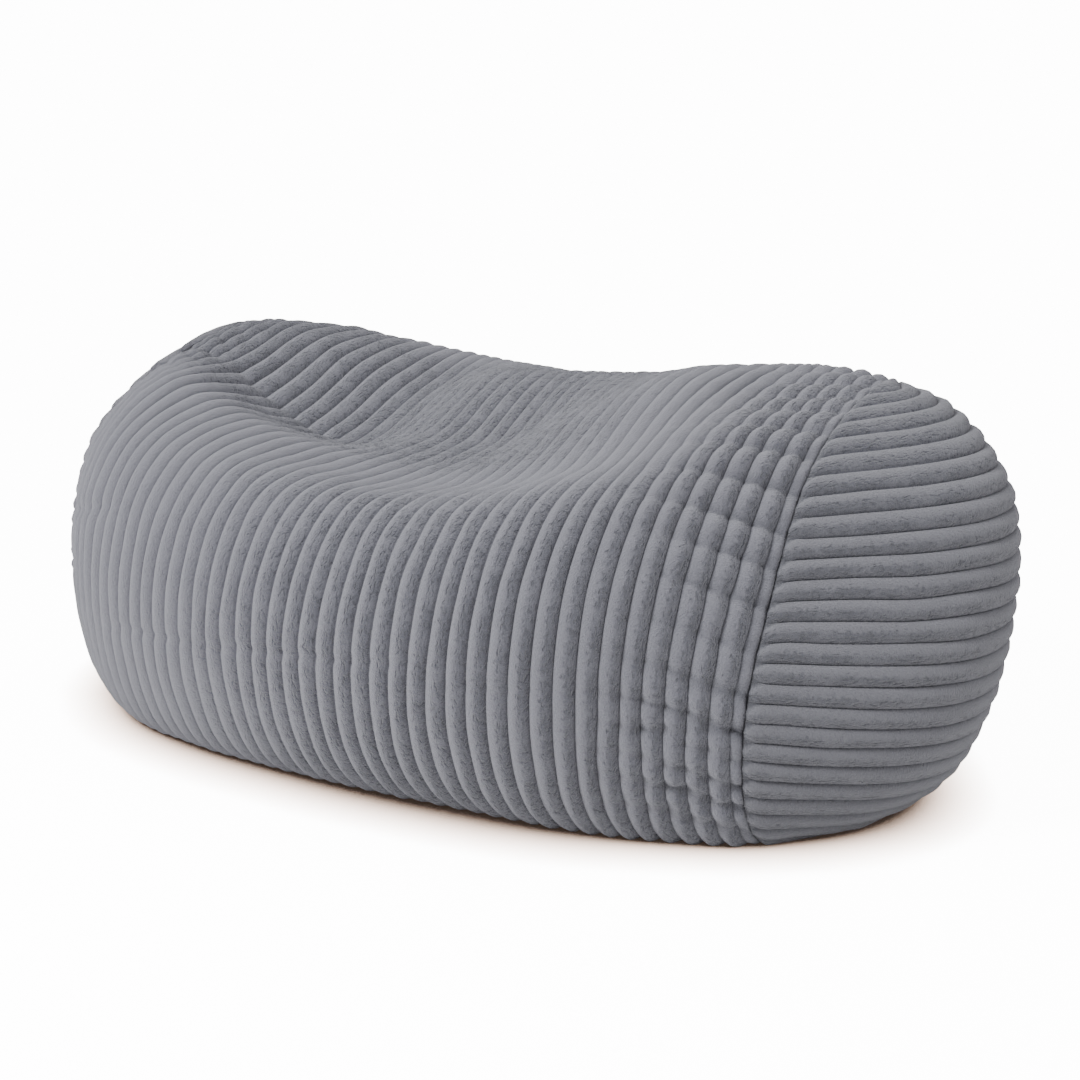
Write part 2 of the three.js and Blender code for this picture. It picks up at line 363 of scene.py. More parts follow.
def creases(x, girth):
    """Depth of the creases: along each line a soft trough, the exponential of minus the square
    of the distance over the half width. Its free ends fade out evenly, and a sewn end doesn't."""
    depth = 0 * x
    for start, end, girth_start, girth_end, deep, half in np.array(CREASES) * MILLIMETRE:
        share = (x - start) / (end - start)
        line = girth_start + (girth_end - girth_start) * share
        if end == RIGHT_SEAM:
            ends = np.clip(share / SEWN_FADE, 0, 1) * (share <= 1)
        elif start == LEFT_SEAM:
            ends = np.clip((1 - share) / SEWN_FADE, 0, 1) * (share >= 0)
        else:
            ends = np.clip(share / FREE_FADE, 0, 1) * np.clip((1 - share) / FREE_FADE, 0, 1)
        depth = depth + deep * ends * np.exp(-(((girth - line) / half) ** 2))
    return depth


print(len(CREASES), "creases")

# %% [markdown]
# ## The body
#
# The body's panel is one grid: stations along the cloth by points round the section. The relief
# pushes each point out along the surface's own normal. At the seam the cloth rolls inwards,
# which is what makes the dark line there, and where it meets the floor it is flat.
#
# The ribs aren't equally high. They are flatter where somebody has sat, and low on the left,
# where the cloth is pulled tight. Each rib's flank away from the light gets painted shade, partly
# the ruffled nap's darker face, and on the slope behind the seat it starts earlier across the rib.

# %% Regions of the body
# Each edge is two places, in metres: where a region begins to fade in, and where it is whole.
# The places are along X for a left or right edge, and girths for a lower or upper edge.
FAR_SLOPE_RIGHT = (0.34, 0.09)
FAR_SLOPE_LOWER = (0.62, 0.72)
FAR_SLOPE_UPPER = (1.15, 1.05)
TIGHT_RIGHT = (0.15, -0.25)
TIGHT_UPPER = (0.32, 0.12)
SADDLE_X = 0.28
SADDLE_GIRTH = 0.66
SADDLE_HALF_LENGTH = 0.2
SADDLE_HALF_GIRTH = 0.12
SAT_FLAT = 0.3
TIGHT_FLAT = 0.4


def inside(value, edge):
    """0 before an edge and 1 past it, with a smooth step in between."""
    begins, whole = edge
    return ease((value - begins) / (whole - begins))


def far_slope(x, girth):
    """1 on the slope behind the seat's hollow, where the painted shade on the ribs' flanks starts
    earlier, else 0.
    """
    between = inside(girth, FAR_SLOPE_LOWER) * inside(girth, FAR_SLOPE_UPPER)
    return between * inside(x, FAR_SLOPE_RIGHT)


def height_left(x, girth):
    """Share of a rib's height that is left: less in a soft round patch where somebody has sat,
    and less low on the left."""
    off_x = (x - SADDLE_X) / SADDLE_HALF_LENGTH
    off_girth = (girth - SADDLE_GIRTH) / SADDLE_HALF_GIRTH
    sat_on = np.exp(-(off_x**2) - off_girth**2)
    tight = inside(x, TIGHT_RIGHT) * inside(girth, TIGHT_UPPER)
    return 1 - SAT_FLAT * sat_on - TIGHT_FLAT * tight


print("sat on, a rib keeps", round(float(height_left(SADDLE_X, SADDLE_GIRTH)), 2), "of its height")

# %% Normals, and the narrow rib beside a seam
STRIP_HEIGHT = 0.5
STRIP_BEAD = 26 * MILLIMETRE
BEAD_DEPTH = 0.4
BEAD_FULLNESS = 0.6


def grid_normals(grid):
    """Unit normals of a grid of points: the cross product of its two directions."""
    normal = np.cross(np.gradient(grid, axis=0), np.gradient(grid, axis=1))
    return normal / np.maximum(np.linalg.norm(normal, axis=2, keepdims=True), 1e-9)


def strip_bar(from_seam, girth):
    """Height of the narrow rib beside a seam, which the stitches draw into a row of beads."""
    arch = np.abs(np.sin(math.pi * girth / STRIP_BEAD)) ** BEAD_FULLNESS
    return STRIP_HEIGHT * (1 - BEAD_DEPTH + BEAD_DEPTH * arch) * rib_bar(from_seam / STRIP)


print("beads every", round(STRIP_BEAD / MILLIMETRE), "mm beside a seam")

# %% The body's grid
# Each layer of noise: its size, its two steps in metres, and its seed
BODY_UNEVEN = [(0.10, RIB_PITCH, 0.06, 1), (0.06, 0.02, 0.025, 2)]
BODY_SWELL = [(1.2 * MILLIMETRE, 0.09, 0.07, 3)]
BODY_STRAY_SEED = 4
SEAM_ROLL = 1 * MILLIMETRE
SEAM_ROLL_WIDTH = 3 * MILLIMETRE
PINCH_SHADE = 12 * MILLIMETRE
LEAST_CREST = 0.1
FOOT_FADE = 20 * MILLIMETRE
# Painted shade on a rib's flank away from the light begins at this share across it, or earlier on
# the far slope, and fades in over this
SHADE_FROM = 0.4
SHADE_FADE = 0.3
FAR_SHADE_SHIFT = 0.25


def body_grid():
    """The settled shape, plus ribs, less puckers, creases and the roll at the seams."""
    y, z = body_section(station_x, TURNS)
    x = np.broadcast_to(station_x, y.shape)
    cloth = np.broadcast_to(cloth_at, y.shape)
    girth = run_length(np.hypot(np.diff(y, axis=0), np.diff(z, axis=0)))
    from_left, from_right = cloth, CLOTH - cloth
    from_seam = np.minimum(from_left, from_right)
    share = ((cloth - STRIP) / RIB_PITCH) % 1
    bar = np.where(from_seam < STRIP, strip_bar(from_seam, girth), rib_bar(share))
    bar = np.where(np.abs(from_seam - STRIP) < 1e-6, 0, bar)
    uneven = 1 + layered_noise(cloth, girth, BODY_UNEVEN)
    pinched = (
        PUCKER_DEPTH * puckers(RIGHT_PINCHES, from_right, girth)
        + LEFT_PUCKER_DEPTH * puckers(LEFT_PINCHES, from_left, girth, LEFT_PUCKER_REACH)
        + creases(x, girth)
    )
    # Painted shade mask: low in the grooves and in the pinches and creases, where the groove
    # colour paints their shade
    crest = bar * np.clip(1 - pinched / PINCH_SHADE, LEAST_CREST, 1)
    rise = RIB_HEIGHT * bar * uneven * height_left(x, girth) - pinched
    rise = rise + layered_noise(cloth, girth, BODY_SWELL)
    rise = rise - SEAM_ROLL * np.exp(-from_seam / SEAM_ROLL_WIDTH)
    held = np.clip(from_seam / (2 * STRIP) - 0.5, 0, 1)
    stray = held * wander(girth, (cloth - STRIP) / RIB_PITCH, BODY_STRAY_SEED)
    base = np.stack([x + stray, y, z], axis=2)
    # Troughs fade out near the floor, so that the foot stays flat on it
    rise = np.where(rise > 0, rise, rise * np.clip(z / FOOT_FADE, 0, 1))
    # This grid runs so that its normals point inwards
    grid = base - grid_normals(base) * rise[..., None]
    grid[..., 0] = np.clip(grid[..., 0], LEFT_SEAM, RIGHT_SEAM)
    grid[..., 2] = np.maximum(grid[..., 2], 0)
    # Painted shade on the right flank of each rib, away from the window's light
    shaded_flank = np.clip((share - SHADE_FROM + FAR_SHADE_SHIFT * far_slope(x, girth)) / SHADE_FADE, 0, 1)
    return grid, cloth, girth, crest, shaded_flank


body_points, body_cloth, body_girth, body_crest, body_shaded_flank = body_grid()
print("body grid", body_points.shape)
print("lowest", body_points.min((0, 1)).round(3), "highest", body_points.max((0, 1)).round(3))

# %% [markdown]
# The table's zero isn't the middle of the pouf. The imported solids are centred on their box, so
# the dressed pieces move by the same small step, read off the body's own solid.

# %% The step from the table's zero to the middle of the box
solid_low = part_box("barrel")[0]
front_crest = -float(fine_size["belly"].max()) - SOLID_RIB_HEIGHT
CENTRING = np.array([solid_low.x - LEFT_SEAM, solid_low.y - front_crest, 0.0])
print("centring step", CENTRING.round(5))

# %% [markdown]
# A grid becomes a mesh by joining each point to its neighbours. The ring of a section closes
# under the floor side, and one flat face closes each end, hidden in the seam. The cloth's two
# lengths, counted in rib pitches, become the UV map, so that the plush follows the cloth.

# %% From a grid to a closed mesh


def cloth_mesh(name, points, pitch_u, pitch_v, marks):
    """A closed mesh from a grid of rings: quads between neighbours, the rings closed on
    themselves, and a flat face at each end. Faces run so that they point outwards."""
    around, rings = points.shape[:2]
    index = np.arange(around * rings).reshape(around, rings)
    turned = np.roll(index, -1, axis=0)
    corners = [index[:, :-1], index[:, 1:], turned[:, 1:], turned[:, :-1]]
    quads = np.stack(corners, axis=2).reshape(-1, 4)
    ends = [index[:, 0].tolist(), index[::-1, -1].tolist()]
    mesh = bpy.data.meshes.new(name)
    mesh.from_pydata((points.reshape(-1, 3) + CENTRING).tolist(), [], quads.tolist() + ends)
    # All is shaded smooth but the two end faces and the strip that closes the rings
    smooth = np.ones(len(mesh.polygons), bool)
    smooth[-2:] = False
    smooth[(around - 1) * (rings - 1) : around * (rings - 1)] = False
    mesh.polygons.foreach_set("use_smooth", smooth)
    corner = np.empty(len(mesh.loops), int)
    mesh.loops.foreach_get("vertex_index", corner)
    uv = mesh.uv_layers.new(name="cloth")
    flat = np.stack([pitch_u.ravel(), pitch_v.ravel()], axis=1)
    uv.data.foreach_set("uv", flat[corner].astype(np.float32).ravel())
    for mark, value in marks.items():
        layer = mesh.attributes.new(mark, "FLOAT", "POINT")
        layer.data.foreach_set("value", value.astype(np.float32).ravel())
    mesh.update()
    piece = bpy.data.objects.new(name, mesh)
    bpy.context.scene.collection.objects.link(piece)
    triangles = len(mesh.loops) - 2 * len(mesh.polygons)
    print(name, len(mesh.vertices), "points,", triangles, "triangles")
    return piece


# %% [markdown]
# Plush shows which way its nap lies. Where people sit and lean, it is stroked smooth, and where
# the bag is gripped it is ruffled. How ruffled each place is, is marked here for the material,
# which also makes the painted shade on the ribs' flanks and in their grooves stronger there.

# %% Build the body
FRONT_LEFT = (-0.34, 0.10)
FRONT_UPPER = (0.60, 0.46)
GRIPPED_LEFT = (0.36, 0.44)
GRIPPED_UPPER = (0.86, 0.74)
STROKED = 0.15


def ruffled_body(x, girth):
    """Share of ruffled nap, from 0.15 to 1, which also sets how strong the painted shade on the
    ribs' flanks and in their grooves is. The seat and the left end are stroked smooth. The front,
    the far side of the seat, and the cloth beside the right seam, where the bag is gripped and
    dragged, are ruffled."""
    front = inside(x, FRONT_LEFT) * inside(girth, FRONT_UPPER)
    gripped = inside(x, GRIPPED_LEFT) * inside(girth, GRIPPED_UPPER)
    return STROKED + (1 - STROKED) * np.maximum.reduce([front, gripped, far_slope(x, girth)])


body = cloth_mesh(
    "body_cover",
    body_points,
    (body_cloth - STRIP) / RIB_PITCH,
    body_girth / RIB_PITCH,
    {
        "crest": body_crest,
        "shaded_flank": body_shaded_flank,
        "ruffled": ruffled_body(body_points[..., 0], body_girth),
    },
)

# %% [markdown]
# ## The end panels
#
# An end panel is an oval of the same plush with its ribs level. Filled, it bows out like a sail:
# least at the floor, most at half its height, and not at all at the top of the seam. The filling
# has slumped, so the right one is fuller towards its front, and its low ribs hang lower in the
# middle than at the seam. Each row is one curve from seam to seam: a power of a cosine, tipped
# by a share of a sine.

# %% Sizes of the two end panels, in metres
PANELS = {
    "end_panel_right": {
        "side": 1, "seam_x": RIGHT_SEAM, "bow": 0.208, "foot_bow": 0.057, "bow_height": 0.260,
        "top_fullness": 3.2, "rise": 0.5, "spread": 1.2, "lean": 0.49,
    },
    "end_panel_left": {
        "side": -1, "seam_x": LEFT_SEAM, "bow": 0.125, "foot_bow": 0.020, "bow_height": 0.204,
        "top_fullness": 2.6, "rise": 0.9, "spread": 0.9, "lean": 0.0,
    },
}
RIB_DROOP = 218 * MILLIMETRE
LEVEL_SHARE = 0.55
PANEL_COLUMNS = 96
PANEL_STRAY_SEED = 14
FINE_PANEL_STEPS = 1600
print("the right panel bows out by", PANELS["end_panel_right"]["bow"], "m")

# %% The shape of an end panel


def bow_at(panel, z, top):
    """How far the panel stands out at height z: from its foot it swells to its full bow, and
    dies out more squarely towards the top."""
    fullest = panel["bow_height"]
    below = np.clip((fullest - z) / fullest, 0, 1)
    above = np.clip((z - fullest) / (top - fullest), 0, 1)
    low = panel["foot_bow"] + (panel["bow"] - panel["foot_bow"]) * (1 - below**2) ** panel["rise"]
    high = panel["bow"] * (1 - above ** panel["top_fullness"]) ** panel["rise"]
    return np.where(z < fullest, low, high)


def end_rise(level, top):
    """How much higher a rib lies at the seam than in the panel's middle: the root of the height's
    share times what is left of it, turned from up to down at the level share."""
    share = np.clip(level / top, 0, 1)
    return RIB_DROOP * (LEVEL_SHARE - share) * np.sqrt(share * (1 - share))


def seam_sides(seam_x):
    """The seam's outline as two curves of y over z, front and back, and the height of its top."""
    y, z = body_section(np.array([seam_x]), np.linspace(0, BACK_FOOT_TURN, FINE_PANEL_STEPS + 1))
    y, z = y[:, 0], z[:, 0]
    top = int(np.argmax(z))
    return (z[: top + 1], y[: top + 1]), (z[top:][::-1], y[top:][::-1]), float(z[top])


def panel_shape(panel):
    """The panel's points without relief, rows by columns, with each row's cloth length and the
    pitch of its ribs. The rows stand at equal cloth lengths up the middle. Each is bowed from
    seam to seam, and raised at its ends."""
    front, back, top = seam_sides(panel["seam_x"])
    fine_z = top * np.sin(np.linspace(0, math.pi / 2, FINE_PANEL_STEPS))
    fine_length = run_length(np.hypot(np.diff(fine_z), np.diff(bow_at(panel, fine_z, top))))
    whole = fine_length[-1]
    ribs = math.floor(whole / RIB_PITCH)
    pitch = whole / ribs
    length = (np.arange(ribs)[:, None] + RIB_SHARES).ravel() * pitch
    # The columns crowd towards the seam, half as much as on a circle
    even = np.linspace(-1, 1, PANEL_COLUMNS)
    turn = ((np.sin(even * math.pi / 2) + even) * math.pi / 4)[:, None]
    stray = wander(turn * np.ptp(back[1]), length / pitch, PANEL_STRAY_SEED)
    stray = stray * np.sin(math.pi * length / whole)
    middle_z = np.interp(length + stray, fine_length, fine_z)
    z = middle_z + end_rise(middle_z, top) * np.sin(turn) ** 2
    front_y, back_y = np.interp(z, *front), np.interp(z, *back)
    y = (front_y + back_y) / 2 + (back_y - front_y) / 2 * np.sin(turn)
    plan = np.maximum(np.cos(turn), 0) ** (2 * panel["spread"])
    plan = plan * (1 - panel["lean"] * np.sin(turn))
    return np.stack([bow_at(panel, z, top) * plan, y, z], axis=2), length, pitch


# %% The relief of an end panel, and both panels
PANEL_UNEVEN = [(0.16, 0.05, RIB_PITCH, 11), (0.07, 0.022, 0.02, 12)]
PANEL_SWELL = [(1.0 * MILLIMETRE, 0.08, 0.09, 13)]
RIB_TIP = 20 * MILLIMETRE
SHORT_RIB_TIP = 0.2
# The share of ruffled nap at the panel's front, how much it drops towards the back, and its range;
# it also sets how strong the painted shade on the ribs is
PANEL_FRONT_RUFFLED = 1.1
PANEL_RUFFLED_DROP = 1.2
PANEL_RUFFLED_RANGE = (0.3, 0.95)


def panel_grid(panel):
    """The panel's shape, plus ribs whose ends are rounded off at the seam."""
    base, length, pitch = panel_shape(panel)
    across = run_length(np.linalg.norm(np.diff(base, axis=0), axis=2))
    width = across[-1]
    from_seam = np.minimum(across, width - across)
    level = np.broadcast_to(length, across.shape)
    share = (level / pitch) % 1
    tip = np.clip(from_seam / np.minimum(RIB_TIP, SHORT_RIB_TIP * width), 0, 1)
    bar = rib_with_tips(share, tip)
    uneven = 1 + layered_noise(across, level, PANEL_UNEVEN)
    rise = RIB_HEIGHT * bar * uneven + layered_noise(across, level, PANEL_SWELL) * tip
    rise = rise - SEAM_ROLL * np.exp(-from_seam / SEAM_ROLL_WIDTH)
    grid = base + grid_normals(base) * rise[..., None]
    stands_out = SEAM_GAP + np.maximum(grid[..., 0], 0)
    grid[..., 0] = panel["seam_x"] + panel["side"] * stands_out
    grid[..., 2] = np.maximum(grid[..., 2], 0)
    # Painted shade on the lower flank of each level rib, away from the light above
    shaded_flank = np.clip((1 - SHADE_FROM - share) / SHADE_FADE, 0, 1)
    ruffled = PANEL_FRONT_RUFFLED - PANEL_RUFFLED_DROP * across / width
    fields = (grid, level, across, bar, shaded_flank, np.clip(ruffled, *PANEL_RUFFLED_RANGE))
    # The right panel is a mirrored one, so its columns are turned round to face outwards
    return tuple(field[::-1] for field in fields) if panel["side"] > 0 else fields


end_panels = {}
for panel_name, panel in PANELS.items():
    points, level, across, bar, shaded_flank, ruffled = panel_grid(panel)
    end_panels[panel_name] = cloth_mesh(
        panel_name + "_cover",
        points,
        level / RIB_PITCH,
        across / RIB_PITCH,
        {"crest": bar, "shaded_flank": shaded_flank, "ruffled": ruffled},
    )

# %% [markdown]
# ## The plush
#
# The cloth is a polyester plush: a knitted ground with a dense upright pile a few millimetres
# long, sheared into ribs. Light sinks into the pile, so it is matt, with a soft sheen where the
# tips face away. Stroked one way it is smooth and pale, and ruffled it shows dark flecks.

# %% Colours and nodes


def linear(hex_code):
    """The linear colour of an sRGB hex code: each channel over 255, with the sRGB curve undone."""
    channel = np.array([int(hex_code[i : i + 2], 16) for i in (1, 3, 5)]) / 255
    value = np.where(channel <= 0.04045, channel / 12.92, ((channel + 0.055) / 1.055) ** 2.4)
    return (*value.tolist(), 1.0)


def add_node(tree, kind, inputs=None, **settings):
    """Adds a node, sets its settings, and fills its inputs with values or links."""
    node = tree.nodes.new(kind)
    for name, value in settings.items():
        setattr(node, name, value)
    for socket, value in (inputs or {}).items():
        if isinstance(value, bpy.types.NodeSocket):
            tree.links.new(value, node.inputs[socket])
        else:
            node.inputs[socket].default_value = value
    return node


WHITE = linear("#ffffff")
print("white is", WHITE)

# %% [markdown]
# The pile is drawn in several sizes. A single fibre is far too fine to show, so the finest thing
# drawn is the tuft. Each rib's flank away from the light gets painted shade up to a ragged line,
# partly the ruffled nap's dark face, more in some patches than in others. And here and there in
# that shade the pile parts, in a short stroke. The cloth's UV map counts rib pitches, so each
# pattern's scale is the pitch over its real size.

# %% The pile's patterns
TUFT = 2.25 * MILLIMETRE
RAG = 6 * MILLIMETRE
PATCH = 30 * MILLIMETRE
STROKE_WIDTH = 3 * MILLIMETRE
STROKE_LENGTH = RIB_PITCH / 3.4
STROKE_SLANT = math.radians(12)
RAGGEDNESS = 1.5


def flank_shade_and_nap_share(tree, cloth, shaded_flank, ruffled):
    """Painted shade on each rib's flank away from the light, partly the ruffled nap's dark face:
    up to a ragged line, by how ruffled the place is and how its patch lies."""
    ragged = add_node(
        tree, "ShaderNodeTexNoise", {"Vector": cloth, "Scale": RIB_PITCH / RAG, "Detail": 4.0}
    ).outputs["Fac"]
    shade_edge = add_node(
        tree, "ShaderNodeMath", {0: ragged, 1: RAGGEDNESS, 2: shaded_flank}, operation="MULTIPLY_ADD"
    ).outputs["Value"]
    shaded_side = add_node(
        tree, "ShaderNodeMapRange", {"Value": shade_edge, "From Min": 0.9, "From Max": 1.35}
    ).outputs["Result"]
    drift = add_node(
        tree, "ShaderNodeTexNoise", {"Vector": cloth, "Scale": RIB_PITCH / PATCH, "Detail": 2.0}
    ).outputs["Fac"]
    patch = add_node(
        tree,
        "ShaderNodeMapRange",
        {"Value": drift, "From Min": 0.36, "From Max": 0.58, "To Min": 0.32, "To Max": 0.7},
    ).outputs["Result"]
    rough = add_node(
        tree, "ShaderNodeMath", {0: shaded_side, 1: ruffled}, operation="MULTIPLY"
    ).outputs["Value"]
    return add_node(
        tree, "ShaderNodeMath", {0: patch, 1: rough}, operation="MULTIPLY"
    ).outputs["Value"]


def parted_pile(tree, cloth, flank_shade_and_nap):
    """Where the pile parts: in slanting strokes a few millimetres wide, only within the painted
    shade on the ribs' flanks.
    """
    stretch = (RIB_PITCH / STROKE_WIDTH, RIB_PITCH / STROKE_LENGTH, 1.0)
    drawn = add_node(
        tree,
        "ShaderNodeMapping",
        {"Vector": cloth, "Rotation": (0.0, 0.0, STROKE_SLANT), "Scale": stretch},
    ).outputs["Vector"]
    grain = add_node(
        tree, "ShaderNodeTexNoise", {"Vector": drawn, "Scale": 1.0, "Detail": 3.0}
    ).outputs["Fac"]
    stroke = add_node(
        tree, "ShaderNodeMapRange", {"Value": grain, "From Min": 0.50, "From Max": 0.33}
    ).outputs["Result"]
    return add_node(
        tree, "ShaderNodeMath", {0: stroke, 1: flank_shade_and_nap}, operation="MULTIPLY"
    ).outputs["Value"]


for pattern, size in {"tufts": TUFT, "rags": RAG, "patches": PATCH}.items():
    print(pattern, round(size / MILLIMETRE, 2), "mm, scale", round(RIB_PITCH / size, 2))

# %% The pile's colour
# How much the partings and the tufts darken the pile
PARTED_SHADE = 1.3
TUFT_SHADE = 0.38
# The share of the painted groove shade in stroked cloth, and what ruffled cloth adds
GROOVE_STROKED = 0.4
GROOVE_RUFFLED = 0.6


def nap_and_shade_colour(tree, pale, deep, flank_shade_and_nap, parted, tuft):
    """From pale to deep, by the painted shade on the rib's flank, partly the nap's dark face, more
    where the pile parts and where a tuft is low."""
    low_tuft = add_node(
        tree, "ShaderNodeMapRange", {"Value": tuft, "From Min": 0.58, "From Max": 0.36}
    ).outputs["Result"]
    ruffle = add_node(
        tree, "ShaderNodeMath", {0: parted, 1: PARTED_SHADE, 2: flank_shade_and_nap}, operation="MULTIPLY_ADD"
    ).outputs["Value"]
    dark = add_node(
        tree,
        "ShaderNodeMath",
        {0: low_tuft, 1: TUFT_SHADE, 2: ruffle},
        operation="MULTIPLY_ADD",
        use_clamp=True,
    ).outputs["Value"]
    colours = {"Factor": dark, "A": linear(pale), "B": linear(deep)}
    return add_node(tree, "ShaderNodeMix", colours, data_type="RGBA").outputs["Result"]


def groove_shaded_colour(tree, nap, groove, crest, ruffled):
    """The nap's colour, and the groove's colour where the crest is low, as painted shade in the
    grooves, pinches and creases, more so on ruffled cloth.
    """
    sunken = add_node(
        tree, "ShaderNodeMapRange", {"Value": crest, "From Min": 0.45, "From Max": 0.0}
    ).outputs["Result"]
    groove_share = add_node(
        tree,
        "ShaderNodeMath",
        {0: ruffled, 1: GROOVE_RUFFLED, 2: GROOVE_STROKED},
        operation="MULTIPLY_ADD",
    ).outputs["Value"]
    groove_shade = add_node(
        tree, "ShaderNodeMath", {0: sunken, 1: groove_share}, operation="MULTIPLY"
    ).outputs["Value"]
    colours = {"Factor": groove_shade, "A": nap, "B": linear(groove)}
    return add_node(tree, "ShaderNodeMix", colours, data_type="RGBA").outputs["Result"]


print("stroked cloth takes", GROOVE_STROKED, "of the groove's colour")

# %% The plush
# How high the tufts stand, and how deep the pile is where it parts, as shares of its length
TUFT_HEIGHT = 0.9
PARTED_HEIGHT = -1.2
PILE_LENGTH = 4 * MILLIMETRE


def sheared_plush(name, pale, deep, groove):
    """Knitted polyester plush, sheared into ribs: pale where the nap lies smooth, deep where it is
    ruffled and on each rib's flank away from the light, as painted shade, and darkest in the
    grooves, pinches and creases, also as painted shade."""
    material = bpy.data.materials.new(name)
    material.use_nodes = True
    tree = material.node_tree
    tree.nodes.clear()
    cloth = add_node(tree, "ShaderNodeUVMap", uv_map="cloth").outputs["UV"]
    crest, ruffled, shaded_flank = (
        add_node(tree, "ShaderNodeAttribute", attribute_name=mark).outputs["Fac"]
        for mark in ("crest", "ruffled", "shaded_flank")
    )
    flank_shade_and_nap = flank_shade_and_nap_share(tree, cloth, shaded_flank, ruffled)
    parted = parted_pile(tree, cloth, flank_shade_and_nap)
    tuft = add_node(
        tree,
        "ShaderNodeTexNoise",
        {"Vector": cloth, "Scale": RIB_PITCH / TUFT, "Detail": 3.0, "Roughness": 0.7},
    ).outputs["Fac"]
    nap = nap_and_shade_colour(tree, pale, deep, flank_shade_and_nap, parted, tuft)
    dent = add_node(
        tree, "ShaderNodeMath", {0: parted, 1: PARTED_HEIGHT}, operation="MULTIPLY"
    ).outputs["Value"]
    pile = add_node(
        tree, "ShaderNodeMath", {0: tuft, 1: TUFT_HEIGHT, 2: dent}, operation="MULTIPLY_ADD"
    ).outputs["Value"]
    bump = add_node(
        tree, "ShaderNodeBump", {"Height": pile, "Strength": 1.0, "Distance": PILE_LENGTH}
    ).outputs["Normal"]
    shader = add_node(
        tree,
        "ShaderNodeBsdfPrincipled",
        {
            "Base Color": groove_shaded_colour(tree, nap, groove, crest, ruffled),
            "Roughness": 0.95,
            "Specular IOR Level": 0.15,
            "Sheen Weight": 0.6,
            "Sheen Roughness": 0.5,
            "Sheen Tint": linear("#f9f9ff"),
            "Normal": bump,
        },
    )
    add_node(tree, "ShaderNodeOutputMaterial", {"Surface": shader.outputs["BSDF"]})
    print(name, "has", len(tree.nodes), "nodes")
    return material


# The third colour of each plush is painted shade, laid in the grooves, pinches and creases
body_plush = sheared_plush("knitted_plush_sheared_body", "#8e8e98", "#6a6b75", "#73747d")
# The ends take a darker copy of the body's plush: painted shade on the end panels
shaded_end_plush = sheared_plush("knitted_plush_sheared_ends_shaded", "#87878f", "#65666f", "#6a6b73")

# %% Dress the three pieces
body.data.materials.append(body_plush)
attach(body, "root")
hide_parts("barrel")
for panel_name, piece in end_panels.items():
    piece.data.materials.append(shaded_end_plush)
    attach(piece, "root")
    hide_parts(panel_name)
print("dressed", [body.name] + [piece.name for piece in end_panels.values()])

# %% [markdown]
# ## The floor and the light
#
# The pouf stands on a plain pale floor that meets the backdrop without a line. In the photograph
# both are washed out to white, and only the floor near the pouf darkens, to a warm brown and then
# a thin dark line. So the camera sees a floor that glows, less where the pouf shuts the sky out,
# and everything else sees matt white paint. A large soft window of light stands in front and to
# the left, high up, and lights the left flank of every rib. A skylight, a weak screen on the
# right and the pale room fill in the shade.

# %% The floor's paint
# The brightness that shows as white, and what is left of it in the dark line at the pouf's foot
WASHED_OUT = 14.0
CONTACT_GLOW = 0.05
# The pouf shuts out the sky only within this reach
CONTACT_REACH = 90 * MILLIMETRE
SHADOW_STEEPNESS = 1.25
floor_paint = bpy.data.materials.new("matt_white_floor_paint")
floor_paint.use_nodes = True
floor_tree = floor_paint.node_tree
floor_tree.nodes.clear()
seen = add_node(floor_tree, "ShaderNodeLightPath").outputs["Is Camera Ray"]
matt_white = add_node(
    floor_tree, "ShaderNodeBsdfDiffuse", {"Color": linear("#edeceb")}
).outputs["BSDF"]
open_sky = add_node(
    floor_tree, "ShaderNodeAmbientOcclusion", {"Distance": CONTACT_REACH}, samples=24
).outputs["AO"]
reached = add_node(
    floor_tree, "ShaderNodeMapRange", {"Value": open_sky, "From Min": 0.17, "From Max": 0.9}
).outputs["Result"]
steep = add_node(
    floor_tree, "ShaderNodeMath", {0: reached, 1: SHADOW_STEEPNESS}, operation="POWER"
).outputs["Value"]
power = add_node(
    floor_tree,
    "ShaderNodeMath",
    {0: steep, 1: WASHED_OUT, 2: CONTACT_GLOW},
    operation="MULTIPLY_ADD",
).outputs["Value"]
warm = add_node(
    floor_tree,
    "ShaderNodeMix",
    {"Factor": reached, "A": linear("#ffdac2"), "B": WHITE},
    data_type="RGBA",
).outputs["Result"]
washed = add_node(
    floor_tree, "ShaderNodeVectorMath", {0: warm, "Scale": power}, operation="SCALE"
).outputs["Vector"]
overexposed = add_node(floor_tree, "ShaderNodeBsdfDiffuse", {"Color": washed}).outputs["BSDF"]
glow = add_node(
    floor_tree, "ShaderNodeEmission", {"Color": warm, "Strength": power}
).outputs["Emission"]

# %% [markdown]
# A floor that only glows would look cut out, so near the pouf it is partly lit paint, far too
# bright to be real, which still takes the window's soft shadow. Further off it fades to the same
# white as the backdrop.

# %% Lay the floor
FLOOR_HALF = 30.0
from_middle = add_node(floor_tree, "ShaderNodeTexCoord").outputs["Object"]
far_off = add_node(
    floor_tree, "ShaderNodeVectorMath", {0: from_middle}, operation="LENGTH"
).outputs["Value"]
fading = add_node(
    floor_tree,
    "ShaderNodeMapRange",
    {"Value": far_off, "From Min": 0.9, "From Max": 2.2, "To Min": 0.85, "To Max": 1.0},
).outputs["Result"]
bright = add_node(
    floor_tree, "ShaderNodeMixShader", {0: fading, 1: overexposed, 2: glow}
).outputs["Shader"]
floor_mix = add_node(
    floor_tree, "ShaderNodeMixShader", {0: seen, 1: matt_white, 2: bright}
).outputs["Shader"]
add_node(floor_tree, "ShaderNodeOutputMaterial", {"Surface": floor_mix})
floor_mesh = bpy.data.meshes.new("floor")
floor_corners = [(-1, -1), (1, -1), (1, 1), (-1, 1)]
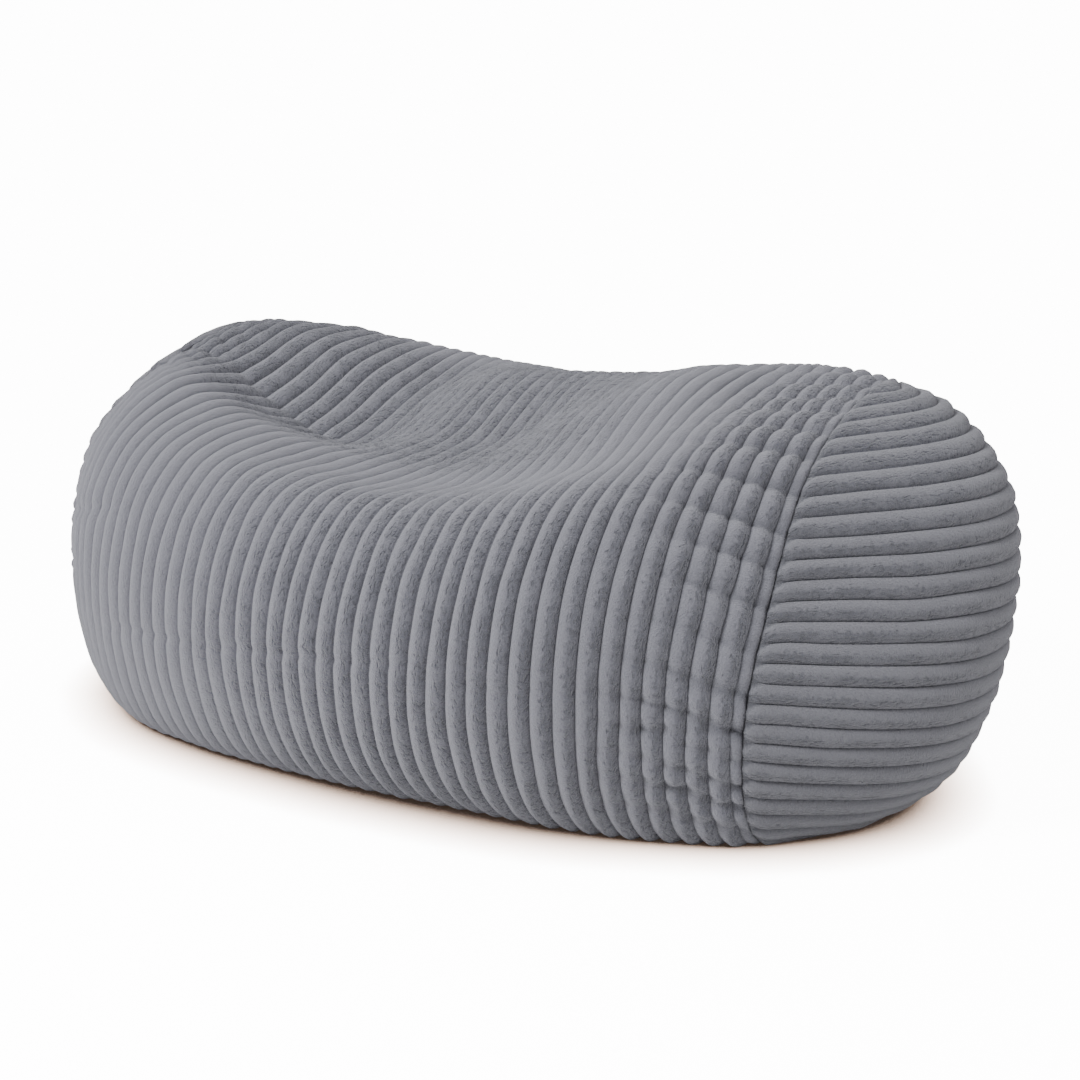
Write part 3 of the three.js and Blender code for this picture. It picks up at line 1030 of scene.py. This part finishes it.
floor_mesh.from_pydata(
    [(x * FLOOR_HALF, y * FLOOR_HALF, 0) for x, y in floor_corners], [], [(0, 1, 2, 3)]
)
floor = bpy.data.objects.new("floor", floor_mesh)
bpy.context.scene.collection.objects.link(floor)
floor.data.materials.append(floor_paint)
print("floor", 2 * FLOOR_HALF, "m wide,", len(floor_tree.nodes), "nodes in its paint")

# %% The pale room
ROOM_LIGHT = 0.5
world = bpy.data.worlds.new("pale_room")
bpy.context.scene.world = world
world.use_nodes = True
world_tree = world.node_tree
world_tree.nodes.clear()
backdrop_seen = add_node(world_tree, "ShaderNodeLightPath").outputs["Is Camera Ray"]
room_light, backdrop = (
    add_node(
        world_tree, "ShaderNodeBackground", {"Color": WHITE, "Strength": strength}
    ).outputs["Background"]
    for strength in (ROOM_LIGHT, WASHED_OUT)
)
world_mix = add_node(
    world_tree, "ShaderNodeMixShader", {0: backdrop_seen, 1: room_light, 2: backdrop}
).outputs["Shader"]
add_node(world_tree, "ShaderNodeOutputWorld", {"Surface": world_mix})
print("the room's light is", ROOM_LIGHT, "and the backdrop's", WASHED_OUT)

# %% Three soft lights
# Each light: its place, the point it shines on, its width in metres and its power in watts
LIGHTS = {
    "window": ((-1.4, -3.0, 2.9), (0, 0, 0.2), 1.4, 156),
    "skylight": ((0.3, 0.5, 3.4), (0.3, 0, 0.2), 1.6, 22),
    "side_screen": ((3.0, 0.6, 2.4), (0.6, 0, 0.3), 1.6, 18),
}
for name, (place, aim, width, watts) in LIGHTS.items():
    light = bpy.data.lights.new(name, "AREA")
    light.size, light.energy = width, watts
    lamp = bpy.data.objects.new(name, light)
    lamp.location = place
    lamp.rotation_euler = (Vector(aim) - Vector(place)).to_track_quat("-Z", "Y").to_euler()
    bpy.context.scene.collection.objects.link(lamp)
    print(name, watts, "W")

# %% [markdown]
# ## The camera
#
# The photograph looks down a little, from the front right. Its lens and place were worked out
# from the ribs: they are equal widths of cloth, so how fast they shrink towards the left gives
# the distance.

# %% Camera
LOOK_ROUND = math.radians(31.95)
LOOK_DOWN = math.radians(15.2)
VIEW_DISTANCE = 2.642
VIEW_SIDE = 0.0467
VIEW_UP = 0.2503
SENSOR_WIDTH = 36.0
LENS = 58.67
level_ahead = np.array([-math.sin(LOOK_ROUND), math.cos(LOOK_ROUND), 0.0])
right = np.array([math.cos(LOOK_ROUND), math.sin(LOOK_ROUND), 0.0])
ahead = level_ahead * math.cos(LOOK_DOWN) - np.array([0.0, 0.0, math.sin(LOOK_DOWN)])
up = np.cross(right, ahead)
camera_data = bpy.data.cameras.new("camera")
camera_data.sensor_width = SENSOR_WIDTH
camera_data.lens = LENS
camera = bpy.data.objects.new("camera", camera_data)
view = Matrix((right, up, -ahead)).transposed().to_4x4()
view.translation = Vector(right * VIEW_SIDE + up * VIEW_UP - ahead * VIEW_DISTANCE + CENTRING)
camera.matrix_world = view
bpy.context.scene.collection.objects.link(camera)
bpy.context.scene.camera = camera
print("camera at", [round(v, 3) for v in view.translation])
